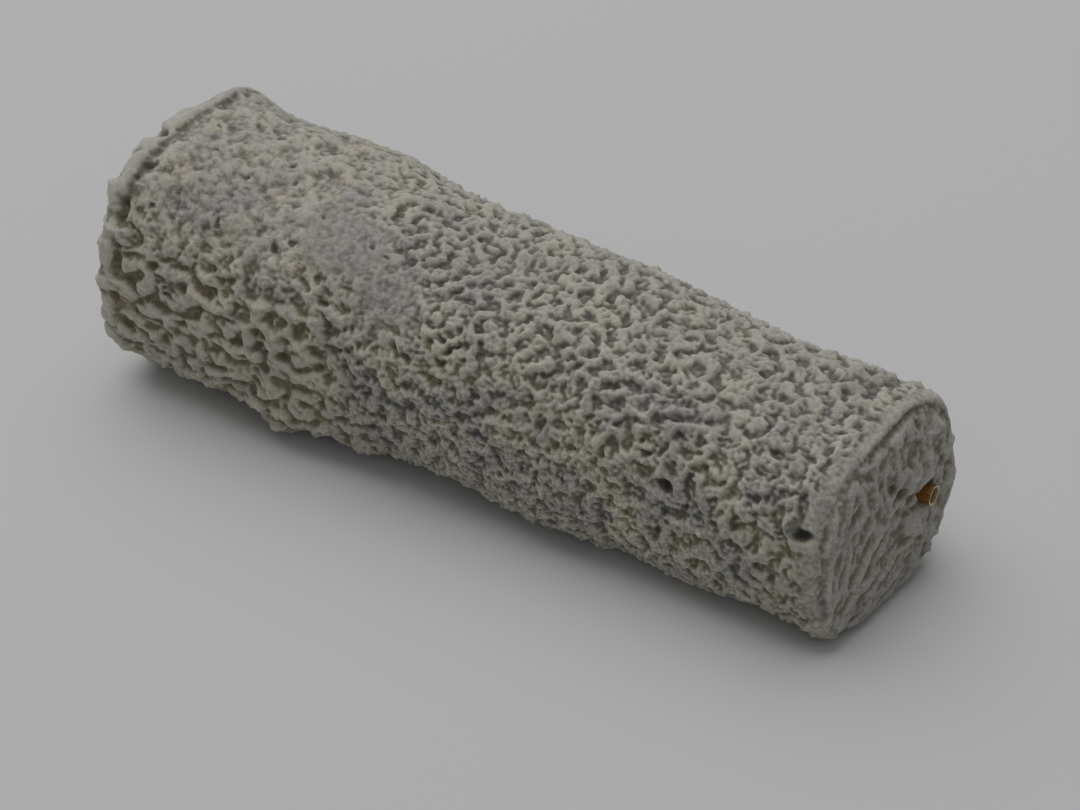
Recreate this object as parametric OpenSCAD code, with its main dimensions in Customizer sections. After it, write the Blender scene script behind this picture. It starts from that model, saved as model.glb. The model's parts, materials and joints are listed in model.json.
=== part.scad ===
// Goat cheese log: a tapered, ripened log with a hollow straw right through it.
// Lengths are in millimetres. The log lies along X with its small end towards +X,
// and it rests on the plane Z = 0, on the strip that it has pressed flat.

/* [Log] */
// Length between the two end faces
log_len = 155; // [110:1:200]
// Width across the small end
small_w = 42.4; // [32:0.2:60]
// Height of the small end
small_h = 38.4; // [30:0.2:60]
// Width across the big end
big_w = 52; // [36:0.2:70]
// Height of the big end
big_h = 49.6; // [36:0.2:70]
// Depth of cheese that its own weight has pressed flat along the base
base_cut = 1.2; // [0.6:0.1:3]

/* [Section] */
// Squareness of the small end, where 2 is an ellipse
small_square = 2.8; // [2:0.1:4]
// Squareness of the big end, where 2 is an ellipse
big_square = 2.4; // [2:0.1:4]
// Slope across the top of the small end, which has slumped to one side
small_lean = 0.16; // [0:0.01:0.3]
// Slope across the top of the big end
big_lean = 0.02; // [0:0.01:0.3]

/* [Ends] */
// Radius of the rim round the small end
small_rim = 2.6; // [1:0.1:6]
// Radius of the rim round the big end
big_rim = 3.2; // [1:0.1:6]
// How far the small end face bows out
small_dome = 0.8; // [0:0.1:4]
// How far the big end face bows out
big_dome = 1.6; // [0:0.1:4]
// Turn of the small end face about the vertical, in degrees
small_turn = 6; // [-10:1:10]
// Turn of the big end face about the vertical, in degrees
big_turn = 4; // [-10:1:10]
// Backward tilt of the small end face, in degrees
small_tilt = 4; // [-8:1:8]

/* [Rind relief] */
// Height of the slow swells along and round the rind
swell = 0.35; // [0:0.05:1]
// Height of the bulges that stand out by their own share of this
bulge_h = 1; // [0:0.1:2]

/* [Straw] */
// Outer diameter of the straw
straw_d = 4.1; // [3:0.1:6]
// Wall of the straw
straw_wall = 0.45; // [0.3:0.05:0.8]
// How far the straw stands out past each end of the log's length
straw_out = 4.2; // [3:0.1:8]
// Clearance round the straw in its hole
straw_clear = 0.05; // [0.02:0.01:0.2]
// Distance of the straw from the middle plane, at the small end
straw_small_y = 11; // [0:0.5:13]
// Height of the straw's middle over the base, at the small end
straw_small_z = 19; // [10:0.5:28]
// Distance of the straw from the middle plane, at the big end
straw_big_y = 4; // [-10:0.5:13]
// Height of the straw's middle over the base, at the big end
straw_big_z = 24; // [12:0.5:34]

/* [Hidden] */
// Points round each ring, rings along the side, and rings over each rim and face
round_n = 66;
side_n = 35;
rim_n = 3;
face_n = 4;
// Share of the length from an end over which that face's slant fades out
slant_reach = 0.12;
// Share of the length, from the small end, over which its squareness and lean fade
slump_reach = 0.5;
// Bulges in the rind: share along from the small end, clock angle from +Y,
// share of bulge_h, and spread
BULGES = [
    [0.99, 45, 0.8, 6], [0.87, 45, -1.0, 8], [0.75, 48, 0.8, 8], [0.93, 160, 0.7, 5],
    [0.76, 220, 1.5, 5], [0.66, 222, 0.6, 5], [0.56, 215, 0.6, 5], [0.4, 220, 1.0, 6],
    [0.32, 224, 0.6, 4], [0.2, 220, 0.9, 4], [0.1, 218, -0.6, 4], [0.03, 214, -0.8, 5],
    [0.6, 120, -0.7, 12], [0.3, 140, 0.6, 9], [0.45, 345, 0.9, 9], [0.8, 330, -0.8, 8]
];
half = log_len / 2;
straw_len_x = log_len + 2 * straw_out;
straw_small = [half + straw_out, straw_small_y, straw_small_z];
straw_big = [-half - straw_out, straw_big_y, straw_big_z];
bore_extra = 2;
RIND = [0.80, 0.79, 0.74];
STRAW = [0.62, 0.44, 0.18];

function mix(a, b, t) = a + (b - a) * t;
function clamp01(t) = max(0, min(1, t));

// Height of the full section before the base is pressed flat, at a share t along
function full_h(t) = mix(small_h, big_h, t) + base_cut;
function mid_z(t) = full_h(t) / 2 - base_cut;

// Distance from the section's middle to its outline at clock angle a
function reach(t, a) =
    let (n = mix(small_square, big_square, clamp01(t / slump_reach)),
         hw = mix(small_w, big_w, t) / 2,
         hh = full_h(t) / 2)
    pow(pow(abs(cos(a)) / hw, n) + pow(abs(sin(a)) / hh, n), -1 / n);

// Slow swells: each wave closes on itself round the log
function swells(t, a) =
    swell * (sin(900 * t + 2 * a + 20) + 0.7 * sin(1500 * t - 3 * a + 110)
             + 0.6 * sin(2300 * t + 5 * a + 40));

function angle_gap(a, b) = abs((a - b + 540) % 360 - 180);

function bulge(b, t, a) =
    let (along = (t - b[0]) * log_len,
         across = angle_gap(a, b[1]) * PI / 180 * full_h(t) / 2)
    b[2] * bulge_h * exp(-(along * along + across * across) / (b[3] * b[3]));

function bulges(t, a, i = 0) =
    i == len(BULGES) ? 0 : bulge(BULGES[i], t, a) + bulges(t, a, i + 1);

// A point on the ring at share t along, drawn in to the share c of its full reach,
// with its plane moved along X by dx
function rind_point(t, a, c, dx) =
    let (r = c * (reach(t, a) + swells(t, a) + bulges(t, a)),
         y = r * cos(a),
         z0 = mid_z(t) + r * sin(a),
         lean = mix(small_lean, big_lean, clamp01(t / slump_reach)),
         z = z0 + lean * y * z0 / full_h(t),
         at_small = clamp01(1 - t / slant_reach),
         at_big = clamp01(1 - (1 - t) / slant_reach),
         slant = at_small * (tan(small_turn) * y - tan(small_tilt) * (z - mid_z(t)))
               + at_big * tan(big_turn) * y)
    [half - t * log_len + dx + slant, y, z];

// Each ring as [share along, share of reach, shift along X], small face to big face
function face_rings(t, rim, dome, side) =
    [for (k = [1 : face_n])
        let (c = k / face_n * (1 - 2 * rim / full_h(t)))
        [t, c, side * (dome * (1 - c * c))]];
function rim_rings(t, rim, side) =
    [for (k = [1 : rim_n])
        let (q = 90 * k / (rim_n + 1))
        [t, 1 - 2 * rim * (1 - sin(q)) / full_h(t), -side * rim * (1 - cos(q))]];
function flip(list) = [for (k = [len(list) - 1 : -1 : 0]) list[k]];

small_t = small_rim / log_len;
big_t = 1 - big_rim / log_len;
RINGS = concat(
    face_rings(0, small_rim, small_dome, 1),
    rim_rings(0, small_rim, 1),
    [for (k = [0 : side_n]) [mix(small_t, big_t, k / side_n), 1, 0]],
    flip(rim_rings(1, big_rim, -1)),
    flip(face_rings(1, big_rim, big_dome, -1)));

module rind_body() {
    count = len(RINGS);
    side_points = [for (r = RINGS) for (k = [0 : round_n - 1])
        rind_point(r[0], 360 * k / round_n, r[1], r[2])];
    ends = [rind_point(0, 0, 0, small_dome), rind_point(1, 0, 0, -big_dome)];
    last = (count - 1) * round_n;
    side_faces = [for (i = [0 : count - 2]) for (k = [0 : round_n - 1])
        let (k2 = (k + 1) % round_n,
             a = i * round_n + k, b = i * round_n + k2,
             c = a + round_n, d = b + round_n)
        each (i + k) % 2 == 0 ? [[a, b, d], [a, d, c]] : [[a, b, c], [b, d, c]]];
    small_fan = [for (k = [0 : round_n - 1])
        [count * round_n, (k + 1) % round_n, k]];
    big_fan = [for (k = [0 : round_n - 1])
        [count * round_n + 1, last + k, last + (k + 1) % round_n]];
    polyhedron(concat(side_points, ends), concat(side_faces, small_fan, big_fan), convexity = 4);
}

// A rod of the given radius on the straw's line, extra longer at each end
module straw_rod(r, extra) {
    run = straw_small - straw_big;
    span = norm(run);
    translate(straw_big)
        rotate([0, acos(run[2] / span), atan2(run[1], run[0])])
            translate([0, 0, -extra])
                cylinder(r = r, h = span + 2 * extra, $fn = 48);
}

module log() {
    pad = 10;
    color(RIND)
        difference() {
            rind_body();
            translate([-straw_len_x / 2, -big_w - small_w, -pad])
                cube([straw_len_x, 2 * (big_w + small_w), pad]);
            straw_rod(straw_d / 2 + straw_clear, bore_extra);
        }
}

module straw() {
    color(STRAW)
        difference() {
            straw_rod(straw_d / 2, 0);
            straw_rod(straw_d / 2 - straw_wall, bore_extra);
        }
}

log();
straw();
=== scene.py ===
# %% [markdown]
# # A ripened goat cheese log
# The object is a soft cheese log with a wrinkled mould rind and a straw through it. The
# CAD model gives its true size and its slow bulges, and everything here is fitted to that
# model. This lesson grows the wrinkles of the rind as a pattern on the log's own surface,
# finishes the rind and the straw with node materials, and lights them softly.

# %% Load the fixed frame
import json
import math

import bmesh
import bpy
from mathutils import Matrix, Vector

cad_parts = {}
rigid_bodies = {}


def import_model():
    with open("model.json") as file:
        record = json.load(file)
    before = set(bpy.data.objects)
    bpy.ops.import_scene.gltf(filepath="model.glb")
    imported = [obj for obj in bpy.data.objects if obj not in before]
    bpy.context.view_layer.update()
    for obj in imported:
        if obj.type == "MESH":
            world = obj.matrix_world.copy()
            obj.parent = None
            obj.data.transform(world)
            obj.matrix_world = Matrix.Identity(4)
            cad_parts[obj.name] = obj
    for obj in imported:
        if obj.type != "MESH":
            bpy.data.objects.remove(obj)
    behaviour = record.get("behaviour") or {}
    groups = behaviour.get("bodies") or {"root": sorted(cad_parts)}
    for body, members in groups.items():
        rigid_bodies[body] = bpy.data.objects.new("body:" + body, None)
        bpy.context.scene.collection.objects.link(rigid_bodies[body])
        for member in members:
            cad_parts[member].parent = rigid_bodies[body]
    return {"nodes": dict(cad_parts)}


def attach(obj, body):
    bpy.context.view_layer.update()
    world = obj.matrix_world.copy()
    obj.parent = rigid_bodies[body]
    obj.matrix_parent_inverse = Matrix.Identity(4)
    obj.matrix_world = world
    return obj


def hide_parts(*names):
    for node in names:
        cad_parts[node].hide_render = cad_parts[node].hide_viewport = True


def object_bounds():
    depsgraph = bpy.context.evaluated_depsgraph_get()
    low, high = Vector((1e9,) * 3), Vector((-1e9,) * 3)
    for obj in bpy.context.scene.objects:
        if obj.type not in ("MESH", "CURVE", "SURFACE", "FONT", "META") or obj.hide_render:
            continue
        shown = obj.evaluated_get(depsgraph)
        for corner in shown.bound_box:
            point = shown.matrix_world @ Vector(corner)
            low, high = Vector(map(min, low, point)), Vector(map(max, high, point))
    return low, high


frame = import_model()
CAD_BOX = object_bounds()
MM = 0.001
LOW, HIGH = (Vector(corner) for corner in CAD_BOX)
SIZE = HIGH - LOW
print("CAD box in mm:", [round(side / MM, 1) for side in SIZE])

# %% [markdown]
# The camera stands where a person would hold it over a table: in front of the log, a
# little to its small end's side, and well above it. A long lens keeps the log's two long
# edges nearly parallel. The camera is aimed at a point near the log's middle, and its
# place is worked out from an azimuth, an elevation and a distance.

# %% Camera
AZIMUTH = math.radians(32.9)
ELEVATION = math.radians(39.0)
DISTANCE = 833 * MM
LENS = 148.2
AIM_RIGHT = 3.0 * MM
AIM_UP = -6.0 * MM
AIM_HEIGHT = 19.4 * MM


def camera_axes(azimuth, elevation):
    """The camera's right, up and back directions."""
    right = Vector((math.cos(azimuth), math.sin(azimuth), 0))
    back = Vector((math.sin(azimuth) * math.cos(elevation),
                   -math.cos(azimuth) * math.cos(elevation), math.sin(elevation)))
    return right, back.cross(right), back


right, up, back = camera_axes(AZIMUTH, ELEVATION)
aim = Vector((0, 0, AIM_HEIGHT)) + right * AIM_RIGHT + up * AIM_UP
lens_data = bpy.data.cameras.new("camera")
lens_data.lens = LENS
lens_data.clip_start = 0.01
camera = bpy.data.objects.new("camera", lens_data)
bpy.context.scene.collection.objects.link(camera)
turn = Matrix((right, up, back)).transposed().to_4x4()
camera.matrix_world = Matrix.Translation(aim + back * DISTANCE) @ turn
bpy.context.scene.camera = camera
print("camera at", [round(c, 3) for c in camera.location])

# %% [markdown]
# Node trees are long to write by hand, so one small class wires them. Every method makes
# a node, sets its inputs from numbers or from other sockets, and gives back the socket
# that carries the answer. It serves geometry trees and material trees alike.

# %% A helper that wires node trees
class Wiring:
    """Makes nodes in one tree and links them."""

    def __init__(self, tree):
        self.tree = tree

    def feed(self, socket, value):
        if isinstance(value, bpy.types.NodeSocket):
            self.tree.links.new(value, socket)
        elif value is not None:
            socket.default_value = value

    def node(self, kind, **settings):
        made = self.tree.nodes.new(kind)
        for name, value in settings.items():
            setattr(made, name, value)
        return made

    def math(self, operation, *values):
        made = self.node("ShaderNodeMath", operation=operation)
        for socket, value in zip(made.inputs, values):
            self.feed(socket, value)
        return made.outputs[0]

    def add(self, *values):
        total = values[0]
        for value in values[1:]:
            total = self.math("ADD", total, value)
        return total

    def mul(self, *values):
        total = values[0]
        for value in values[1:]:
            total = self.math("MULTIPLY", total, value)
        return total

    def most(self, *values):
        """The largest of the values."""
        largest = values[0]
        for value in values[1:]:
            largest = self.math("MAXIMUM", largest, value)
        return largest

    def rest_of(self, share):
        """0 where the share is 1, and 1 where it is 0."""
        return self.math("SUBTRACT", 1.0, share)

    def vector(self, operation, a, b=None, scale=None):
        made = self.node("ShaderNodeVectorMath", operation=operation)
        self.feed(made.inputs[0], a)
        self.feed(made.inputs[1], b)
        if scale is not None:
            self.feed(made.inputs["Scale"], scale)
        return made.outputs["Value" if operation == "LENGTH" else "Vector"]

    def split(self, vector):
        made = self.node("ShaderNodeSeparateXYZ")
        self.feed(made.inputs[0], vector)
        return made.outputs[:3]

    def join(self, x, y, z):
        made = self.node("ShaderNodeCombineXYZ")
        for socket, value in zip(made.inputs, (x, y, z)):
            self.feed(socket, value)
        return made.outputs[0]

    def noise(self, vector, size, detail=2.0, rough=0.5, shift=0.0):
        """Smooth noise from 0 to 1, whose blobs are about size metres across."""
        made = self.node("ShaderNodeTexNoise", noise_dimensions="4D")
        self.feed(made.inputs["Vector"], vector)
        self.feed(made.inputs["W"], shift)
        self.feed(made.inputs["Scale"], 1 / size)
        self.feed(made.inputs["Detail"], detail)
        self.feed(made.inputs["Roughness"], rough)
        return made.outputs[0]

    def wander(self, vector, size, detail):
        """Noise from -0.5 to 0.5 along each axis, to shift places about."""
        made = self.node("ShaderNodeTexNoise")
        self.feed(made.inputs["Vector"], vector)
        self.feed(made.inputs["Scale"], 1 / size)
        self.feed(made.inputs["Detail"], detail)
        return self.vector("SUBTRACT", made.outputs["Color"], (0.5, 0.5, 0.5))

    def ramp(self, value, start, end, low=0.0, high=1.0, smooth=True):
        """low up to start, high from end on, and a smooth step between."""
        kind = "SMOOTHSTEP" if smooth else "LINEAR"
        made = self.node("ShaderNodeMapRange", interpolation_type=kind)
        for socket, number in zip(made.inputs, (value, start, end, low, high)):
            self.feed(socket, number)
        return made.outputs[0]

    def mix(self, share, a, b, **settings):
        made = self.node("ShaderNodeMix", **settings)
        self.feed(made.inputs["Factor"], share)
        ends = [s for s in made.inputs if s.enabled and s.name in ("A", "B")]
        self.feed(ends[0], a)
        self.feed(ends[1], b)
        return [s for s in made.outputs if s.enabled][0]

    def blend(self, share, a, b):
        """The number a where share is 0, and b where it is 1."""
        return self.mix(share, a, b, data_type="FLOAT")

    def colour(self, share, a, b):
        """The colour a where share is 0, and b where it is 1."""
        return self.mix(share, a, b, data_type="RGBA")


print("Wiring has", len([m for m in dir(Wiring) if m[0] != "_"]), "methods")

# %% [markdown]
# The straw's line is read from its CAD node. The rind has to open round the straw at both
# ends, and the straw's own mesh has to lie on this line, so both are measured once, here.

# %% Measure the straw
def straw_line(node_name):
    """Ends of the straw's axis, small end first, and its outer and inner radius."""
    points = [v.co.copy() for v in frame["nodes"][node_name].data.vertices]
    middle_x = sum(p.x for p in points) / len(points)
    ends = []
    for side in (1, -1):
        near = [p for p in points if side * (p.x - middle_x) > 0]
        ends.append(sum(near, Vector()) / len(near))
    line = (ends[0] - ends[1]).normalized()
    from_axis = [((p - ends[0]) - line * (p - ends[0]).dot(line)).length for p in points]
    return ends[0], ends[1], max(from_axis), min(from_axis)


STRAW_SMALL, STRAW_BIG, STRAW_R, STRAW_INNER_R = straw_line("straw")
STRAW_DIR = (STRAW_SMALL - STRAW_BIG).normalized()
print("straw radius in mm", round(STRAW_R / MM, 2), "inner", round(STRAW_INNER_R / MM, 2))

# %% [markdown]
# The rind starts as a copy of the CAD log. Its loose triangles are merged and the hole for
# the straw is closed. The hole could stay open right through, but a blind hole at each end
# is enough, because nothing of the middle is seen, and a single closed skin is simpler.

# %% The closed log
MERGE_DISTANCE = 0.01 * MM
BORE_MARGIN = 0.2 * MM


def new_object(name, mesh):
    made = bpy.data.objects.new(name, mesh)
    bpy.context.scene.collection.objects.link(made)
    return made


def off_axis(point):
    """How far a point lies from the straw's axis."""
    from_end = point - STRAW_SMALL
    return (from_end - STRAW_DIR * from_end.dot(STRAW_DIR)).length


def closed_log():
    """The CAD log as one closed mesh, with the straw's hole filled."""
    work = bmesh.new()
    work.from_mesh(frame["nodes"]["log"].data)
    bmesh.ops.remove_doubles(work, verts=work.verts, dist=MERGE_DISTANCE)
    reach = STRAW_R + BORE_MARGIN
    bore = [f for f in work.faces if all(off_axis(v.co) < reach for v in f.verts)]
    bmesh.ops.delete(work, geom=bore, context="FACES")
    rims = [e for e in work.edges if e.is_boundary]
    bmesh.ops.holes_fill(work, edges=rims, sides=0)
    bmesh.ops.recalc_face_normals(work, faces=work.faces)
    mesh = bpy.data.meshes.new("closed_log")
    work.to_mesh(mesh)
    work.free()
    print("closed log:", len(mesh.polygons), "faces,", len(bore), "bore faces removed")
    return mesh


body = new_object("body", closed_log())

# %% [markdown]
# A short blind hole is sunk at each end, just narrower than the straw, so that the cheese
# hugs the straw. A voxel remesh then gives even, square faces all over. The wrinkles are
# grown by blurring along the mesh, and that needs points that lie evenly.

# %% The plain body of the log
VOXEL = 0.34 * MM
HOLE_DEPTH = 9 * MM
HOLE_SIDES = 40


def hole_cutter(end):
    """A rod over the last stretch of the straw's line, to sink the hole at that end."""
    work = bmesh.new()
    radius = (STRAW_R + STRAW_INNER_R) / 2
    bmesh.ops.create_cone(work, cap_ends=True, segments=HOLE_SIDES, radius1=radius,
                          radius2=radius, depth=2 * HOLE_DEPTH)
    spin = STRAW_DIR.to_track_quat("Z", "Y").to_matrix().to_4x4()
    bmesh.ops.transform(work, matrix=Matrix.Translation(end) @ spin, verts=work.verts)
    mesh = bpy.data.meshes.new("cutter")
    work.to_mesh(mesh)
    work.free()
    return new_object("cutter", mesh)


def baked(obj):
    """The object's evaluated mesh, after which the object itself is removed."""
    graph = bpy.context.evaluated_depsgraph_get()
    mesh = bpy.data.meshes.new_from_object(obj.evaluated_get(graph))
    bpy.data.objects.remove(obj)
    return mesh


cutters = [hole_cutter(end) for end in (STRAW_SMALL, STRAW_BIG)]
for cutter in cutters:
    cut = body.modifiers.new("hole", "BOOLEAN")
    cut.object = cutter
    cut.solver = "EXACT"
even = body.modifiers.new("even", "REMESH")
even.mode = "VOXEL"
even.voxel_size = VOXEL
body_mesh = baked(body)
for cutter in cutters:
    bpy.data.objects.remove(cutter)
print("even body:", len(body_mesh.vertices), "points")

# %% [markdown]
# The rind is grown by one geometry tree. Its strengths are named inputs, so a new seed
# gives new wrinkles and more relief gives deeper ones. A small class adds to the wiring
# what a growing mesh needs: it carries the geometry along, and it stores each field on the
# mesh under a name, so that a later step can read what an earlier one found.

# %% A helper that grows a mesh
RIND_INPUTS = [
    ("Smoothing", "Int", 24), ("Seed", "Float", 3.0), ("Relief", "Float", 0.95 * MM),
    ("Swell", "Float", 1.6 * MM), ("Lumps", "Float", 1.5 * MM),
    ("Crumple", "Float", 0.30 * MM), ("Vein", "Float", 0.45 * MM),
    ("Finish", "Material", None),
]


def tree_with_sockets(name, sockets):
    """An empty geometry tree with a Geometry input and output and the named inputs."""
    tree = bpy.data.node_groups.new(name, "GeometryNodeTree")
    face = tree.interface
    face.new_socket("Geometry", in_out="OUTPUT", socket_type="NodeSocketGeometry")
    face.new_socket("Geometry", in_out="INPUT", socket_type="NodeSocketGeometry")
    for label, kind, default in sockets:
        socket = face.new_socket(label, in_out="INPUT", socket_type="NodeSocket" + kind)
        if default is not None:
            socket.default_value = default
    return tree


class Skin(Wiring):
    """A geometry tree in the making, with its geometry so far."""

    def __init__(self, tree):
        super().__init__(tree)
        self.given = self.node("NodeGroupInput").outputs
        self.geometry = self.given["Geometry"]
        self.place = self.node("GeometryNodeInputPosition").outputs[0]

    def blur(self, value, times, weight=1.0, kind="FLOAT"):
        """The value, evened out with its neighbours' that many times."""
        made = self.node("GeometryNodeBlurAttribute", data_type=kind)
        self.feed(made.inputs["Value"], value)
        self.feed(made.inputs["Iterations"], times)
        self.feed(made.inputs["Weight"], weight)
        return made.outputs["Value"]

    def read(self, name, kind="FLOAT"):
        made = self.node("GeometryNodeInputNamedAttribute", data_type=kind)
        made.inputs["Name"].default_value = name
        return made.outputs["Attribute"]

    def pass_through(self, made):
        """Puts the geometry so far through one more node."""
        self.feed(made.inputs["Geometry"], self.geometry)
        self.geometry = made.outputs["Geometry"]

    def store(self, name, value, kind="FLOAT"):
        """Stores a field on the mesh under a name."""
        made = self.node("GeometryNodeStoreNamedAttribute", data_type=kind)
        made.inputs["Name"].default_value = name
        self.feed(made.inputs["Value"], value)
        self.pass_through(made)

    def keep(self, name, value, kind="FLOAT"):
        """Stores a field, and gives back the socket that reads it."""
        self.store(name, value, kind)
        return self.read(name, kind)

    def move_to(self, position):
        made = self.node("GeometryNodeSetPosition")
        self.feed(made.inputs["Position"], position)
        self.pass_through(made)

    def seeded(self, place, size, detail, rough, extra):
        """Noise that follows the Seed input, and differs for each extra number."""
        return self.noise(place, size, detail, rough, self.add(self.given["Seed"], float(extra)))

    def about_zero(self, value, strength=1.0):
        """A field from 0 to 1, moved to lie half above and half below zero."""
        return self.mul(self.math("SUBTRACT", value, 0.5), strength)


print("named inputs:", [label for label, kind, default in RIND_INPUTS])

# %% [markdown]
# The rind isn't the same all over. The two end faces, the rims round them and the pressed
# base differ from the sides. The flank near the big end hangs in large round folds, the
# top above it is fine-grained, a smoother grey patch lies beside that, and the lower flank
# of the middle is powdery. The regions could be painted by hand, but soft limits on the
# place and on the way the skin faces are plain numbers that are easy to read and change.

# %% The regions of the rind
NORMAL_BLUR = 6
END_BLUR = 24
EDGE_SIZE = 7 * MM
PATCH_STRAY = 16 * MM

# centre and reach of the two lobes of the smooth grey patch, in mm
PATCHES = [((-30, -11, 44), (16, 10, 10)), ((-19, -17, 40), (12, 9, 10))]


def near_place(skin, place, centre, reach):
    """1 near the centre, falling to 0 at the reach, both in mm along x, y and z."""
    off = skin.vector("SUBTRACT", place, tuple(c * MM for c in centre))
    off = skin.vector("DIVIDE", off, tuple(r * MM for r in reach))
    return skin.ramp(skin.vector("LENGTH", off), 1.0, 0.35)


def strayed(skin, reach):
    """Each point's place, shifted about, so that what is drawn there has ragged edges."""
    shift = skin.vector("SCALE", skin.wander(skin.place, EDGE_SIZE, 4.0), scale=reach)
    return skin.vector("ADD", skin.place, shift)


def mark_regions(skin):
    """Stores how far each point belongs to each region, from 0 to 1."""
    # out_z is 1 where the skin faces straight up, 0 on a wall and -1 underneath
    normal = skin.node("GeometryNodeInputNormal").outputs[0]
    outward = skin.vector("NORMALIZE", skin.blur(normal, NORMAL_BLUR, 1.0, "FLOAT_VECTOR"))
    out_x, out_y, out_z = skin.split(skin.keep("outward", outward, "FLOAT_VECTOR"))
    x = skin.split(skin.place)[0]

    # endward is 0 on the sides and rises to 1 on the end faces
    endward = skin.keep("endward", skin.blur(skin.math("ABSOLUTE", out_x), END_BLUR))
    off_face = skin.rest_of(skin.keep("face", skin.ramp(endward, 0.78, 0.96)))
    skin.store("rim", skin.mul(skin.ramp(endward, 0.07, 0.28), off_face))
    skin.store("under", skin.ramp(out_z, -0.7, -0.95))
    # the finish turns the valleys here slate, partly as painted shade
    skin.store("above", skin.ramp(out_z, 0.3, 0.9))

    # the big end is at low x, so its regions fade out as x grows
    folds = skin.ramp(x, -20 * MM, -40 * MM)
    skin.store("folds", skin.mul(folds, skin.ramp(out_z, 0.65, 0.2), off_face))
    fine = skin.ramp(x, -22 * MM, -40 * MM)
    skin.store("fine", skin.mul(fine, skin.ramp(out_z, 0.45, 0.75), off_face))
    powder = skin.mul(skin.ramp(x, -25 * MM, -5 * MM), skin.ramp(out_z, 0.45, 0.15))
    skin.store("powder", skin.mul(powder, skin.ramp(x, 66 * MM, 45 * MM)))

    stray = strayed(skin, PATCH_STRAY)
    skin.store("patch", skin.most(*[near_place(skin, stray, *lobe) for lobe in PATCHES]))


skin = Skin(tree_with_sockets("rind", RIND_INPUTS))
skin.move_to(skin.blur(skin.place, skin.given["Smoothing"], 1.0, "FLOAT_VECTOR"))
mark_regions(skin)
print("regions marked with", len(skin.tree.nodes), "nodes")

# %% [markdown]
# The wrinkles of such a rind come from a mould skin that grows while the cheese under it
# shrinks, and their spacing is set by the skin. The same kind of pattern comes from a
# simple rule, run many times over: take a slightly blurred copy of a random field, take
# away a more blurred copy, and stretch what is left until it clips. Ridges of one width
# grow out of the noise and join into a maze. Blur Attribute follows the mesh, so the maze
# wraps round the rims with no seam. First comes the random field that it starts from. It is
# stretched along the log in the folds, and on the end faces it fans out from their foot.

# %% Where the wrinkles start
FAN_FOOT = (0.0, -19 * MM, 3 * MM)
FAN_WIDTH = 14 * MM


def directed_places(skin):
    """Places squeezed one way, in which plain noise comes out as streaks."""
    along = skin.vector("MULTIPLY", skin.place, (0.45, 1.0, 1.0))
    upright = skin.vector("MULTIPLY", skin.place, (1.0, 1.0, 0.5))
    foot_x, foot_y, foot_z = skin.split(skin.vector("SUBTRACT", skin.place, FAN_FOOT))
    angle = skin.math("ARCTAN2", foot_z, foot_y)
    squares = skin.add(skin.mul(foot_y, foot_y), skin.mul(foot_z, foot_z))
    radius = skin.math("SQRT", squares)
    fan = skin.join(skin.mul(angle, FAN_WIDTH), skin.mul(radius, 0.3), 0.0)
    return along, upright, fan, skin.ramp(radius, 18 * MM, 32 * MM)


def start_field(skin):
    """The random field that the mazes start from."""
    on_face = skin.blend(past_fan, skin.seeded(fan, 2.2 * MM, 2.0, 0.6, 2),
                         skin.seeded(upright, 2.2 * MM, 2.0, 0.6, 2))
    on_side = skin.blend(skin.read("folds"), skin.seeded(skin.place, 2.4 * MM, 2.0, 0.7, 0),
                         skin.seeded(along, 2.6 * MM, 2.0, 0.7, 1))
    return skin.about_zero(skin.blend(skin.read("face"), on_side, on_face), 5.0)


def spread_field(skin):
    """How far each blur step reaches, which sets how wide the ridges get."""
    patchy = skin.seeded(skin.place, 13 * MM, 1.0, 0.5, 7)
    spread = skin.ramp(patchy, 0.38, 0.66, 0.10, 0.60)
    for region, value in (("folds", 0.75), ("fine", 0.10), ("face", 0.20)):
        spread = skin.blend(skin.read(region), spread, value)
    return spread


along, upright, fan, past_fan = directed_places(skin)
start = start_field(skin)
spread = skin.keep("spread", spread_field(skin))
print("start fields made with", len(skin.tree.nodes), "nodes")

# %% [markdown]
# Thin veins cross the ridges, as the skin splits and heals. The places where a smooth
# noise passes through its middle value form long, winding lines, so a narrow band there
# makes veins. The same bands also nudge the maze, so that its ridges run along the veins.

# %% Veins
def vein(skin, where, size, width, extra):
    """1 on winding lines, falling to 0 at the width on either side."""
    off_line = skin.math("ABSOLUTE", skin.about_zero(skin.seeded(where, size, 1.5, 0.5, extra)))
    return skin.ramp(off_line, width, 0.0)


def two_veins(skin, strong, faint, share):
    return skin.most(vein(skin, *strong), skin.mul(vein(skin, *faint), share))


def vein_field(skin):
    """Veins of their own kind for the sides, the folds and the end faces."""
    plain = two_veins(skin, (skin.place, 5.5 * MM, 0.07, 31), (skin.place, 3.4 * MM, 0.08, 37), 0.8)
    folded = two_veins(skin, (along, 5.0 * MM, 0.055, 43), (skin.place, 4.5 * MM, 0.06, 47), 0.8)
    fanned = two_veins(skin, (fan, 4.6 * MM, 0.10, 41), (fan, 2.8 * MM, 0.11, 53), 0.6)
    raised = two_veins(skin, (upright, 5.0 * MM, 0.10, 41), (skin.place, 3.2 * MM, 0.10, 53), 0.6)
    on_face = skin.blend(past_fan, fanned, raised)
    return skin.blend(skin.read("face"), skin.blend(skin.read("folds"), plain, folded), on_face)


veins = skin.keep("veins", vein_field(skin))
print("veins made with", len(skin.tree.nodes), "nodes")

# %% [markdown]
# Three mazes are grown: narrow ridges, wider ropes, and a fine crumple that lies over
# both. A fixed rough field is added in every round, which keeps the ridges uneven. Where
# it is below zero, the valleys win and the ridges break up into short pieces.

# %% Grow the mazes
ROUNDS = 5


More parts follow.
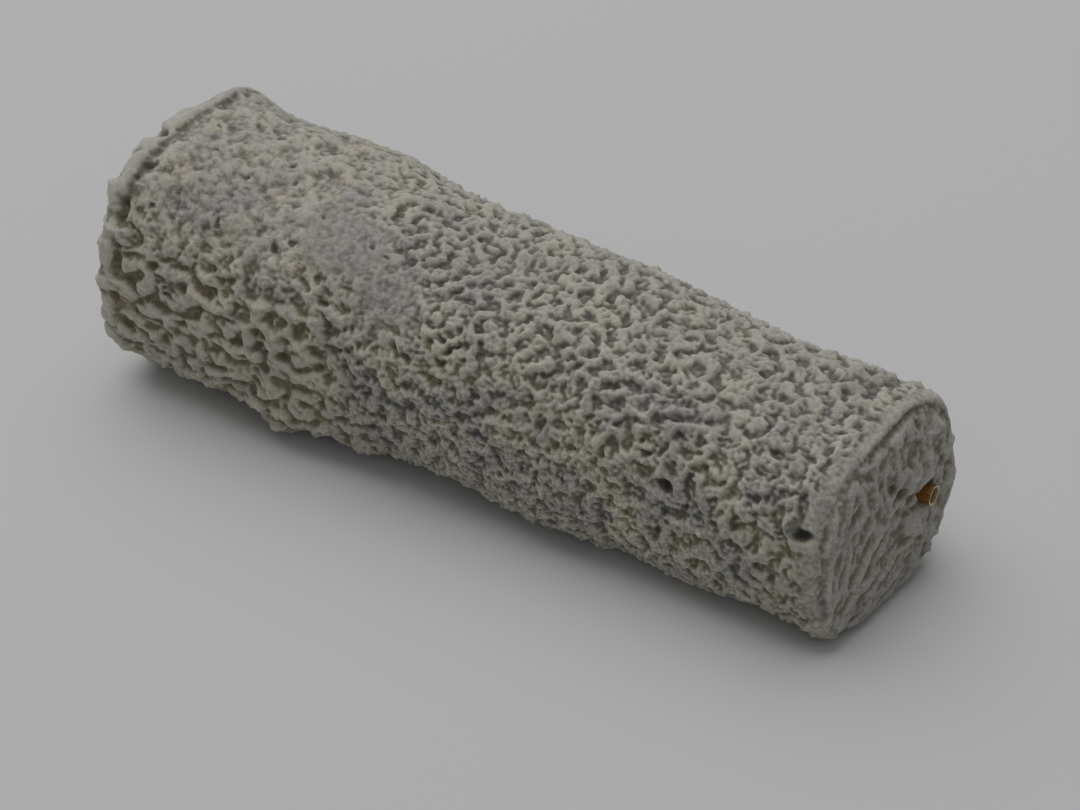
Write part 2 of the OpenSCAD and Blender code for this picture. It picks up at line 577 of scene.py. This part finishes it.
def rough_field(skin):
    """What is added in every round: fine noise, the veins, and a slant towards valleys."""
    rough = skin.about_zero(skin.seeded(skin.place, 1.7 * MM, 2.0, 0.6, 5), 1.3)
    slant = skin.ramp(skin.seeded(skin.place, 9 * MM, 1.0, 0.5, 17), 0.35, 0.65, -0.34, -0.06)
    slant = skin.add(slant, skin.mul(skin.read("folds"), -0.10))
    return skin.add(rough, skin.mul(veins, 0.35), slant)


def grow_maze(skin, name, start, rough, spread, narrow, wide, gain):
    """Stores the start under the name, then sharpens it into a maze in rounds.

    narrow and wide count the blur steps of the two copies, and gain says how hard their
    difference is stretched."""
    old = skin.keep(name, start)
    first = skin.node("GeometryNodeRepeatInput")
    last = skin.node("GeometryNodeRepeatOutput")
    first.pair_with_output(last)
    first.inputs["Iterations"].default_value = ROUNDS
    skin.pass_through(first)
    grown = skin.math("SUBTRACT", skin.blur(old, narrow, spread), skin.blur(old, wide, spread))
    grown = skin.add(skin.mul(grown, gain), rough)
    skin.store(name, skin.math("MINIMUM", skin.most(grown, -1.0), 1.0))
    skin.pass_through(last)


rough = skin.keep("rough", rough_field(skin))
tiny = skin.about_zero(skin.seeded(skin.place, 1.1 * MM, 2.0, 0.7, 20), 4.0)
grow_maze(skin, "ridge", start, rough, spread, narrow=10, wide=40, gain=3.0)
grow_maze(skin, "rope", start, rough, 1.0, narrow=15, wide=60, gain=3.2)
grow_maze(skin, "crumple", tiny, 0.0, 0.2, narrow=2, wide=8, gain=3.0)
print("mazes grown with", len(skin.tree.nodes), "nodes")

# %% [markdown]
# The mazes run from -1 to 1. A power curve turns them into heights with round crests and
# narrow valleys, as soft skin has. Each layer of relief is weaker or stronger in some of
# the regions, and one table says by how much, so that the balance can be seen at a glance.

# %% Height of the ridges and veins
# the strength of each layer in the regions where it isn't 1
STRENGTHS = {
    "ridges": {"face": 0.28, "fine": 0.16, "powder": 0.8, "folds": 1.15},
    "swell": {"fine": 2.2},
    "lumps": {"face": 0.5, "powder": 1.5, "folds": 0.35, "fine": 0.55},
    "crumple": {"powder": 0.9, "fine": 0.25, "face": 0.4, "folds": 0.55},
    "grain": {"face": 0.0},
    "veins": {"rim": 0.4},
}
MAZE_POWER = 1.6


def by_region(skin, layer, value):
    """The layer's value, times its strength in each region that the table names."""
    for region, strength in STRENGTHS[layer].items():
        value = skin.mul(value, skin.blend(skin.read(region), 1.0, strength))
    return value


def maze_height(skin, name, times, weight, top, bottom):
    """The maze from 0 in its valleys to 1 on its crests, with round crests."""
    slope = skin.ramp(skin.blur(skin.read(name), times, weight), top, bottom, smooth=False)
    return skin.rest_of(skin.math("POWER", slope, MAZE_POWER))


def calm_field(skin):
    """How strong the relief is: weak on the rims, under the log and on the patch."""
    rim_share = skin.mul(skin.read("rim"), skin.blend(near_end, 0.4, 1.0))
    calm = skin.blend(rim_share, 1.0, 0.15)
    calm = skin.mul(calm, skin.blend(skin.read("under"), 1.0, 0.15))
    return skin.mul(calm, skin.blend(skin.read("patch"), 1.0, 0.25))


def ridge_layers(skin):
    """Rise of the ridges and ropes, and rise of the veins."""
    share = skin.ramp(skin.seeded(skin.place, 16 * MM, 1.0, 0.5, 23), 0.42, 0.62, 0.15, 0.65)
    for region, value in (("powder", 0.65), ("folds", 1.0), ("fine", 0.3), ("face", 0.6)):
        share = skin.blend(skin.read(region), share, value)
    ropes = skin.mul(maze_height(skin, "rope", 6, 1.0, 0.90, -0.75), 1.15)
    wave = skin.blend(share, maze_height(skin, "ridge", 4, 0.8, 0.85, -0.66), ropes)
    uneven = skin.ramp(skin.seeded(skin.place, 4 * MM, 2.0, 0.6, 3), 0.3, 0.7, 0.35, 1.2)
    depth = by_region(skin, "ridges", skin.mul(skin.given["Relief"], uneven, calm))
    vein_share = skin.add(0.6, skin.mul(skin.read("folds"), 1.7), skin.mul(skin.read("face"), 1.3))
    vein_rise = by_region(skin, "veins", skin.mul(skin.given["Vein"], calm, vein_share))
    return [skin.mul(skin.about_zero(wave), depth, 1.1),
            skin.mul(skin.blur(veins, 2, 0.5), vein_rise)]


x, y, z = skin.split(skin.place)
near_end = skin.ramp(x, -20 * MM, 20 * MM)
calm = skin.keep("calm", calm_field(skin))
layers = ridge_layers(skin)
print("layers so far:", len(layers))

# %% [markdown]
# Between the ridges the rind swells, and it is lumpy, pocked and grainy in places. Each of
# these is noise of its own size. They are separate layers and not one noise with more
# detail, because a real rind has each of them in other regions and at another strength.

# %% Height of the lumps and grain
def rough_layers(skin):
    """Rise of the swells, lumps, pocks, crumples and grain."""
    fine, patch, face = (skin.read(name) for name in ("fine", "patch", "face"))
    swell = skin.about_zero(skin.seeded(skin.place, 6 * MM, 3.0, 0.55, 11))
    swell = by_region(skin, "swell", skin.mul(swell, skin.given["Swell"], calm))
    lumps = skin.about_zero(skin.seeded(skin.place, 2.0 * MM, 3.0, 0.6, 13))
    lumps = by_region(skin, "lumps", skin.mul(lumps, skin.given["Lumps"], calm))
    pock = skin.ramp(skin.seeded(skin.place, 2.6 * MM, 1.0, 0.5, 29), 0.655, 0.76)
    pock = skin.mul(pock, skin.most(fine, skin.mul(patch, 0.8)), skin.rest_of(face))
    crumple = skin.mul(skin.blur(skin.read("crumple"), 1, 0.5), skin.given["Crumple"],
                       skin.blend(calm, 0.3, 1.0))
    grain = skin.about_zero(skin.seeded(skin.place, 1.2 * MM, 3.0, 0.65, 61), 0.9 * MM)
    grainy = skin.most(fine, skin.mul(patch, 0.4), skin.mul(skin.read("powder"), 0.45))
    return [swell, lumps, skin.mul(pock, -0.7 * MM), by_region(skin, "crumple", crumple),
            by_region(skin, "grain", skin.mul(grain, grainy))]


layers += rough_layers(skin)
print("layers so far:", len(layers))

# %% [markdown]
# The big end flares a little round its rim. At the small end a thin lip stands up round the
# rim, with a groove inside it, where the rind of the side folds over that of the face. It
# is clear only along the upper part, since the lower part is squashed.

# %% Height of the ends
FLARE = 1.5 * MM
LIP_RISE = 0.30
GROOVE_DEPTH = 0.40


def end_layers(skin):
    """Rise of the big end's flare, and of the small end's lip and groove."""
    endward = skin.read("endward")
    far = skin.ramp(x, -60 * MM, -78 * MM)
    flare = skin.mul(skin.add(skin.read("rim"), skin.mul(skin.read("face"), 0.6)), far, FLARE)
    lip = skin.mul(skin.ramp(endward, 0.05, 0.45), skin.ramp(endward, 0.85, 0.55))
    groove = skin.mul(skin.ramp(endward, 0.66, 0.84), skin.ramp(endward, 1.0, 0.86))
    lip = skin.math("SUBTRACT", skin.mul(lip, LIP_RISE), skin.mul(groove, GROOVE_DEPTH))
    high = skin.ramp(skin.add(z, skin.mul(y, 0.3)), 26 * MM, 40 * MM, 0.15, 1.0)
    return [flare, skin.mul(lip, near_end, high, MM)]


layers += end_layers(skin)
print("layers so far:", len(layers))

# %% [markdown]
# Last come the log's own bulges and dents, one by one: the sag along the foot, the knobs
# of the face round the straw, the torn flap at the big end's rim, and two small pits in
# the flank. They could be sculpted, but a short list of places is exact and repeatable.

# %% Bulges and dents
# centre, reach and rise of each bulge or dent, all in mm
BULGES = [
    # along the foot of the log
    ((-38, -22, 8), (12, 9, 8), 1.6), ((-24, -21, 8), (8, 8, 7), 0.8),
    ((-79, -24, 10), (5, 7, 5), 0.9), ((-76, -17, 2), (12, 9, 5), -1.3),
    ((76, -18, 4), (6, 6, 6), 0.9), ((-58, -22, 5), (9, 8, 8), 0.4),
    # along the top and the far side
    ((10, 9, 38), (30, 14, 12), 0.9), ((-25, 10, 42), (14, 8, 8), -0.7),
    ((6, 10, 40), (12, 8, 8), 0.6), ((72, 12, 36), (10, 8, 7), -1.0),
    ((76, 20, 28), (9, 10, 14), 0.7), ((77, 22, 15), (6, 7, 9), 1.5),
    ((-79.5, -2, 46), (7, 7, 9), 0.6), ((-77, 9, 47), (8, 8, 9), -1.0),
    ((-75, 18, 40), (13, 9, 10), -1.4),
    # two welts on the flank
    ((49.5, -22, 20.5), (6.5, 4, 1.5), 1.0), ((-48, -26, 22), (9, 5, 1.6), 0.9),
    # the notch, knob, flap and gap at the big end's rim
    ((-79, -6.8, 48), (4.5, 2.6, 4), -2.6), ((-79.5, -10.5, 46.5), (4, 2.8, 3.5), 1.0),
    ((-79.5, -20.5, 43), (3.0, 3.8, 3.4), 2.8), ((-75.6, -22, 41), (1.8, 3.2, 3.0), -1.3),
    ((-78, -22.5, 38.6), (4, 3.5, 1.8), -1.2), ((-79, -24, 13), (4, 5, 3), 1.0),
    # knobs and grooves of the end faces, round the straw
    ((79, 9.5, 25.3), (6, 6, 4.3), 1.6), ((79, 7.5, 14.6), (6, 5, 4.2), 1.5),
    ((79, 6.4, 20.6), (4, 2.2, 1.5), -1.1), ((78.5, 3.7, 23.1), (4, 2.2, 1.5), -1.1),
    ((78, 1.2, 25.4), (4, 2.0, 1.4), -0.9), ((-82, 4, 24), (6, 4.5, 4.5), 1.2),
    # two small pits in the flank, and a knob beside the second
    ((44, -21, 27), (2.2, 4, 1.8), -1.5), ((71.5, -20, 27), (2.6, 4, 1.6), -1.4),
    ((69.2, -21, 28.5), (2.2, 4, 2.2), 0.7),
]
LIFT_ALL = 0.15 * MM

for centre, reach, rise in BULGES:
    layers.append(skin.mul(near_place(skin, skin.place, centre, reach), rise * MM))
lift = skin.keep("lift", skin.add(*layers, LIFT_ALL))
print("layers in all:", len(layers), "of which bulges", len(BULGES))

# %% [markdown]
# The finish needs to know where the crests, the valleys and the crisp little ridges are:
# it paints a highlight on their tops, shade in the small creases between them, and shade
# in the deepest pits. They are measured here, on the real relief, as the rise above a
# blurred copy of it. So the colours always sit on the shapes, whatever the seed is.

# %% Fields for the colours
DARK_SPOT_STRAY = 6 * MM

# centre and reach of each dark spot, in mm: blue-black mould on the knob, painted shade in two pits
MOULD_AND_HOLE_SPOTS = [
    ((69.4, -21, 28.5), (2.4, 4, 2.4)), ((44, -21, 27), (2.0, 4, 1.6)),
    ((71.5, -20, 27), (2.4, 4, 1.6)),
]


def mark_relief(skin):
    """Stores, 0 to 1, dark spots, crests, pits and crisp ridges, partly for painted light and
    shade.
    """
    # dark spots: blue-black mould on a knob, and painted shade in two pits
    stray = strayed(skin, DARK_SPOT_STRAY)
    skin.store("stain", skin.most(*[near_place(skin, stray, *spot) for spot in MOULD_AND_HOLE_SPOTS]))
    relief = skin.keep("relief", skin.math("SUBTRACT", lift, skin.blur(lift, 40)))
    # the crisp ridges measured below steer a painted highlight and painted shade in the finish
    sharp = skin.math("SUBTRACT", lift, skin.blur(lift, 6))
    skin.store("sharp", skin.ramp(sharp, -0.14 * MM, 0.14 * MM, smooth=False))
    skin.store("crest", skin.ramp(relief, -0.5 * MM, 0.4 * MM, smooth=False))
    skin.store("pit", skin.ramp(relief, -0.45 * MM, -1.0 * MM))


mark_relief(skin)
print("colour fields made with", len(skin.tree.nodes), "nodes")

# %% [markdown]
# Now the points move out by their lift. The highest bulges are softened beyond a limit, so
# that the rind stays close to the CAD log, and nothing goes below the plane it rests on.

# %% Move the points and end the tree
SIDE_LIMIT = 26.2 * MM
TOP_LIMIT = 48.4 * MM


def soften(skin, value, limit, share):
    """Takes away a share of what lies past the limit, on either side of zero."""
    past = skin.most(skin.math("SUBTRACT", skin.math("ABSOLUTE", value), limit), 0.0)
    return skin.math("SUBTRACT", value, skin.mul(past, share, skin.math("SIGN", value)))


def end_tree(skin):
    """Moves the points, smooths the shading, and sets the material last."""
    outward = skin.read("outward", "FLOAT_VECTOR")
    moved = skin.vector("ADD", skin.place, skin.vector("SCALE", outward, scale=lift))
    new_x, new_y, new_z = skin.split(moved)
    new_y = soften(skin, new_y, SIDE_LIMIT, 0.4)
    new_z = soften(skin, new_z, TOP_LIMIT, 0.3)
    skin.move_to(skin.join(new_x, new_y, skin.most(new_z, 0.0)))
    skin.pass_through(skin.node("GeometryNodeSetShadeSmooth"))
    skin.pass_through(skin.node("GeometryNodeRealizeInstances"))
    finish = skin.node("GeometryNodeSetMaterial")
    skin.feed(finish.inputs["Material"], skin.given["Finish"])
    skin.pass_through(finish)
    end = skin.node("NodeGroupOutput")
    skin.feed(end.inputs["Geometry"], skin.geometry)


end_tree(skin)
print("the rind's tree has", len(skin.tree.nodes), "nodes")

# %% [markdown]
# The rind's colour follows its relief: pale cream on the crests, olive-brown in the
# valleys, and painted shade of near black in the deepest pits, with grey-blue mould in
# drifts over it all; the valleys on top turn slate, partly as painted shade. The colours
# could be painted on an image, but node materials stay sharp at any distance.

# %% Colours of the rind
# of these, the second colour of the last row is painted shade for the deepest pits
CREAM, GREY, WARM = (186, 184, 169), (160, 159, 155), (191, 179, 150)
OLIVE, SLATE, LILAC = (152, 146, 122), (124, 123, 119), (111, 108, 111)
# the third colour of this row is blue-black mould, and painted shade in two pits
DRY, PIT_SHADE, MOULD_AND_HOLE_SHADE = (148, 143, 126), (98, 95, 84), (78, 80, 84)


def rgb(r, g, b):
    """A colour from its values as seen on a screen, 0 to 255."""
    def linear(c):
        c /= 255
        return c / 12.92 if c <= 0.04045 else ((c + 0.055) / 1.055) ** 2.4
    return (linear(r), linear(g), linear(b), 1.0)


class Finish(Wiring):
    """A material in the making, with its shader and the places on the object."""

    def __init__(self, name):
        self.material = bpy.data.materials.new(name)
        self.material.use_nodes = True
        self.material.node_tree.nodes.clear()
        super().__init__(self.material.node_tree)
        self.shader = self.node("ShaderNodeBsdfPrincipled")
        out = self.node("ShaderNodeOutputMaterial")
        self.feed(out.inputs["Surface"], self.shader.outputs[0])
        self.place = self.node("ShaderNodeTexCoord").outputs["Object"]

    def field(self, name):
        """A field that the mesh carries under this name."""
        return self.node("ShaderNodeAttribute", attribute_name=name).outputs["Fac"]

    def patchy(self, size, detail, rough, shift, start, end, low=0.0, high=1.0):
        """Noise of this size, sharpened between start and end into low and high."""
        return self.ramp(self.noise(self.place, size, detail, rough, shift), start, end, low, high)

    def bump(self, height, distance, strength=1.0):
        made = self.node("ShaderNodeBump")
        made.inputs["Strength"].default_value = strength
        made.inputs["Distance"].default_value = distance
        self.feed(made.inputs["Height"], height)
        self.feed(self.shader.inputs["Normal"], made.outputs[0])


def crest_colour(w, drift):
    """Cream, greyed by drifts of mould, and warmer in spots on the fine-grained top."""
    top = w.colour(w.mul(drift, 0.8), rgb(*CREAM), rgb(*GREY))
    warm = w.mul(w.patchy(6 * MM, 3.0, 0.6, 6.0, 0.54, 0.66), w.field("fine"))
    return w.colour(w.mul(warm, 0.5), top, rgb(*WARM))


def valley_colour(w, drift):
    """Olive; slate in mould drifts and on top (partly painted shade); lilac spots; dry on the
    faces.
    """
    # valleys on upward-facing skin turn slate: grey mould, and painted shade to dim the top
    mould_and_top_shade = w.most(drift, w.mul(w.field("above"), 0.8))
    valley = w.colour(mould_and_top_shade, rgb(*OLIVE), rgb(*SLATE))
    mould = w.patchy(4 * MM, 3.0, 0.6, 3.0, 0.55, 0.66)
    valley = w.colour(w.mul(mould, w.blend(w.field("folds"), 0.8, 0.45)), valley, rgb(*LILAC))
    return w.colour(w.mul(w.field("face"), 0.7), valley, rgb(*DRY))


def base_colour(w):
    """Crest and valley colours by height, painted shade in pits, dark spots of mould and shade."""
    drift = w.patchy(10 * MM, 5.0, 0.7, 1.0, 0.40, 0.62)
    drift = w.mul(drift, w.blend(w.field("folds"), 1.0, 0.45))
    drift = w.most(drift, w.most(w.field("patch"), w.field("endward")))
    height = w.ramp(w.field("crest"), 0.15, 0.75)
    colour = w.colour(height, valley_colour(w, drift), crest_colour(w, drift))
    # the deepest pits darken to near black, a painted shade
    pit = w.mul(w.field("pit"), w.blend(w.field("folds"), 0.6, 0.45))
    colour = w.colour(pit, colour, rgb(*PIT_SHADE))
    # dark spots: blue-black mould on the knob, painted shade in the two pits
    return w.colour(w.mul(w.field("stain"), 0.7), colour, rgb(*MOULD_AND_HOLE_SHADE))


print("rind colours:", CREAM, GREY, OLIVE, SLATE, LILAC)

# %% [markdown]
# The mould is a bloom of tiny hairs and dust, dull and almost without shine. Specks, dust
# and flakes only brighten or darken the colour, crisp ridges get a painted highlight on
# their tops and painted shade in their creases, and a fine bump breaks up the light. The
# ridges themselves are real geometry, so the bump has only the bloom to show.

# %% Rind finish
def speckle_and_edge_light(w):
    """A factor near 1 for the colour: specks, flakes, dust, and painted highlight and shade on
    ridges.
    """
    speck = w.noise(w.place, 0.7 * MM, 3.0, 0.7, 9.0)
    powder = w.field("powder")
    fleck = w.blend(powder, w.ramp(speck, 0.3, 0.7, 0.86, 1.10),
                    w.ramp(speck, 0.35, 0.62, 0.76, 1.20))
    flake = w.mul(w.patchy(0.5 * MM, 2.0, 0.6, 14.0, 0.60, 0.66), powder)
    dust = w.patchy(0.32 * MM, 2.0, 0.6, 8.0, 0.3, 0.7, 0.90, 1.10)
    # painted highlight on crisp crests and painted shade in the small creases
    edges = w.ramp(w.field("sharp"), 0.0, 1.0, 0.80, 1.10, smooth=False)
    ends = w.ramp(w.field("endward"), 0.15, 0.6, 1.0, 1.15)
    return w.mul(w.add(fleck, w.mul(flake, 0.25)), dust, edges, ends)


def rind_material():
    w = Finish("mould_rind")
    tinted = w.mix(1.0, base_colour(w), speckle_and_edge_light(w), data_type="RGBA", blend_type="MULTIPLY")
    w.feed(w.shader.inputs["Base Color"], tinted)
    w.shader.inputs["Roughness"].default_value = 0.92
    w.shader.inputs["Specular IOR Level"].default_value = 0.2
    w.bump(w.noise(w.place, 0.36 * MM, 4.0, 0.75, 5.0), 0.32 * MM)
    return w.material


RIND = rind_material()
print("rind material has", len(RIND.node_tree.nodes), "nodes")

# %% [markdown]
# The tree is run on the plain body. The even squares are then thinned: flat stretches
# give up most of their triangles and the creases keep theirs. Only the fields that the
# rind's colours read stay on the mesh.

# %% Grow the rind
MOST_TRIANGLES = 196000
COLOUR_FIELDS = ("crest", "pit", "sharp", "above", "endward", "face", "fine", "folds",
                 "patch", "powder", "stain")


def run_tree(mesh, tree, settings, name):
    """Runs the tree on the mesh, with inputs set by identifier, and bakes the result."""
    holder = new_object(name, mesh)
    modifier = holder.modifiers.new(name, "NODES")
    modifier.node_group = tree
    by_name = {i.name: i.identifier for i in tree.interface.items_tree if i.in_out == "INPUT"}
    for label, value in settings.items():
        modifier[by_name[label]] = value
    result = baked(holder)
    result.name = name
    return result


def thinned(mesh):
    """The mesh as triangles, about as many as MOST_TRIANGLES."""
    dense = new_object("dense", mesh)
    thin = dense.modifiers.new("thin", "DECIMATE")
    thin.ratio = MOST_TRIANGLES / (2 * len(mesh.vertices))
    return baked(dense)


grown = run_tree(body_mesh, skin.tree, {"Finish": RIND}, "grown")
rind_mesh = thinned(grown)
rind_mesh.name = "rind"
fields = [a.name for a in rind_mesh.attributes if a.domain == "POINT" and a.name[0] != "."]
for name in fields:
    if name not in COLOUR_FIELDS + ("position",):
        rind_mesh.attributes.remove(rind_mesh.attributes[name])
for point in rind_mesh.vertices:
    point.co.z = max(point.co.z, 0.0)
rind = new_object("rind", rind_mesh)
rind_mesh.calc_loop_triangles()
print("rind:", len(grown.vertices), "points,", len(rind_mesh.loop_triangles), "triangles")
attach(rind, "root")
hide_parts("log")

# %% [markdown]
# The straw is a dried stalk. It is lofted from rings along its own line: out along the
# outside, over the mouth and back along the inside. Fine furrows run along its length and
# both mouths are cut a little ragged, with a thin pale wall round the dark hollow.

# %% The straw's shape
STRAW_SIDES = 96
STRAW_TRIM = 0.14 * MM
SKIN_GAP = 0.08 * MM
WALL_BULGE = 0.06 * MM
RAGGED_LENGTH = 0.02

# count round the straw, depth in mm, and turn of each set of furrows
FURROWS = ((11, 0.035, 0.4), (23, 0.02, 1.9), (37, 0.015, 4.0))
FURROW_SHARE = 0.9
FURROW_TWIST = 2.5

# places of the rings along the straw, as shares of its length, closer near the mouths
RING_SHARES = (0.0, 0.004, 0.012, 0.03, 0.06, 0.2, 0.35, 0.5, 0.65, 0.8, 0.94, 0.97,
               0.988, 0.996, 1.0)


def ragged(angle, turn):
    """How far the cut at a mouth runs ahead of or behind its plane."""
    wave = math.sin(angle + turn) + 0.5 * math.sin(3 * angle + 2 * turn)
    return 0.10 * MM * wave + 0.04 * MM * math.sin(9 * angle + turn)


def outer_radius(angle, share):
    furrow = sum(deep * math.sin(count * angle + shift + FURROW_TWIST * share)
                 for count, deep, shift in FURROWS)
    oval = 0.03 * math.cos(2 * angle + 0.8)
    return STRAW_R - SKIN_GAP + (furrow + oval) * MM * FURROW_SHARE


def straw_path():
    """Each ring's share of the length, and how far it lies through the wall, 0 to 1."""
    path = [(share, 0.0) for share in RING_SHARES]
    path += [(1.0, 0.25), (1.0, 0.6), (1.0, 1.0)]
    path += [(share, 1.0) for share in reversed(RING_SHARES[:-1])]
    path += [(0.0, 0.6), (0.0, 0.25)]
    return path


def straw_ring(share, inward):
    """The points of one ring of the straw."""
    over = Vector((0, 0, 1)).cross(STRAW_DIR).normalized()
    across = over.cross(STRAW_DIR)
    length = (STRAW_SMALL - STRAW_BIG).length
    wall = STRAW_R - STRAW_INNER_R
    at_end = 1.0 if share > 0.5 else -1.0
    closeness = max(0.0, 1 - min(share, 1 - share) / RAGGED_LENGTH)
    bulge = WALL_BULGE * math.sin(math.pi * inward) if share in (0.0, 1.0) else 0.0
    ring = []
    for k in range(STRAW_SIDES):
        angle = 2 * math.pi * k / STRAW_SIDES
        uneven_wall = wall * (1 + 0.12 * math.sin(2 * angle + 1))
        radius = outer_radius(angle, share) - inward * uneven_wall
        shift = at_end * (ragged(angle, at_end) * closeness + bulge) - at_end * STRAW_TRIM
        centre = STRAW_BIG + STRAW_DIR * (length * share + shift)
        ring.append(centre + (across * math.cos(angle) + over * math.sin(angle)) * radius)
    return ring


def straw_mesh():
    """All rings joined by squares, with the depth in the wall kept as a field."""
    path = straw_path()
    points = [point for share, inward in path for point in straw_ring(share, inward)]
    faces = []
    for ring in range(len(path)):
        upper = (ring + 1) % len(path)
        for k in range(STRAW_SIDES):
            after = (k + 1) % STRAW_SIDES
            faces.append((ring * STRAW_SIDES + k, ring * STRAW_SIDES + after,
                          upper * STRAW_SIDES + after, upper * STRAW_SIDES + k))
    mesh = bpy.data.meshes.new("straw")
    mesh.from_pydata(points, [], faces)
    inside = mesh.attributes.new("inside", "FLOAT", "POINT")
    depths = [inward for share, inward in path for k in range(STRAW_SIDES)]
    inside.data.foreach_set("value", depths)
    work = bmesh.new()
    work.from_mesh(mesh)
    bmesh.ops.recalc_face_normals(work, faces=work.faces)
    work.to_mesh(mesh)
    work.free()
    mesh.shade_smooth()
    return mesh


straw = new_object("stalk", straw_mesh())
print("straw:", len(straw.data.polygons), "faces")

# %% [markdown]
# A dry straw is golden-brown and slightly shiny. Long thin fibres run along it, with
# darker blotches, and its cut wall is paler than its skin. Noise squeezed along the straw
# makes the fibres, and the field kept on the mesh says where the wall is.

# %% Straw finish
GOLD, BROWN, CUT, HOLLOW = (150, 108, 48), (96, 66, 30), (205, 190, 150), (160, 140, 100)


def straw_material():
    w = Finish("straw")
    inside = w.field("inside")
    fibre = w.noise(w.vector("MULTIPLY", w.place, (0.06, 1.0, 1.0)), 0.22 * MM, 3.0, 0.6, 2.0)
    blotch = w.noise(w.place, 1.6 * MM, 3.0, 0.6, 4.0)
    streak = w.add(w.mul(fibre, 0.6), w.mul(blotch, 0.5))
    outer = w.colour(w.ramp(streak, 0.40, 0.70), rgb(*BROWN), rgb(*GOLD))
    cut = w.mul(w.ramp(inside, 0.05, 0.3), w.ramp(inside, 0.98, 0.75))
    colour = w.colour(cut, outer, rgb(*CUT))
    colour = w.colour(w.ramp(inside, 0.97, 1.0), colour, rgb(*HOLLOW))
    w.feed(w.shader.inputs["Base Color"], colour)
    w.shader.inputs["Roughness"].default_value = 0.45
    w.bump(fibre, 0.05 * MM, strength=0.6)
    return w.material


straw.data.materials.append(straw_material())
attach(straw, "root")
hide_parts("straw")
print("straw material:", straw.data.materials[0].name)

# %% [markdown]
# The log lies on a plain pale table, large enough to fill the view. One broad window high
# up behind it gives a soft shadow towards the viewer, a weak lamp in front opens that
# shadow a little, and a dim white world keeps the deepest hollows from going black.

# %% Floor and light
FLOOR_HALF = 3.0
FLOOR_COLOUR = (208, 208, 210)
WORLD_STRENGTH = 0.21


def area_light(name, place, size, power, colour):
    """A round soft lamp that faces the origin."""
    data = bpy.data.lights.new(name, "AREA")
    data.shape = "DISK"
    data.size = size
    data.energy = power
    data.color = colour
    lamp = new_object(name, data)
    lamp.location = place
    lamp.rotation_euler = (-Vector(place)).to_track_quat("-Z", "Y").to_euler()


floor_mesh = bpy.data.meshes.new("floor")
corners = [(-FLOOR_HALF, -FLOOR_HALF, 0), (FLOOR_HALF, -FLOOR_HALF, 0),
           (FLOOR_HALF, FLOOR_HALF, 0), (-FLOOR_HALF, FLOOR_HALF, 0)]
floor_mesh.from_pydata(corners, [], [(0, 1, 2, 3)])
floor = new_object("floor", floor_mesh)
table = Finish("pale_floor")
table.shader.inputs["Base Color"].default_value = rgb(*FLOOR_COLOUR)
table.shader.inputs["Roughness"].default_value = 0.8
floor_mesh.materials.append(table.material)

area_light("window", (-0.45, 0.27, 1.14), 1.8, 15.3, (1, 0.99, 0.97))
area_light("fill", (0.6, -1.0, 1.0), 1.2, 1.4, (0.97, 0.98, 1))
world = bpy.data.worlds.new("world")
world.use_nodes = True
sky = world.node_tree.nodes["Background"]
sky.inputs["Color"].default_value = (1, 1, 1, 1)
sky.inputs["Strength"].default_value = WORLD_STRENGTH
bpy.context.scene.world = world

# %% [markdown]
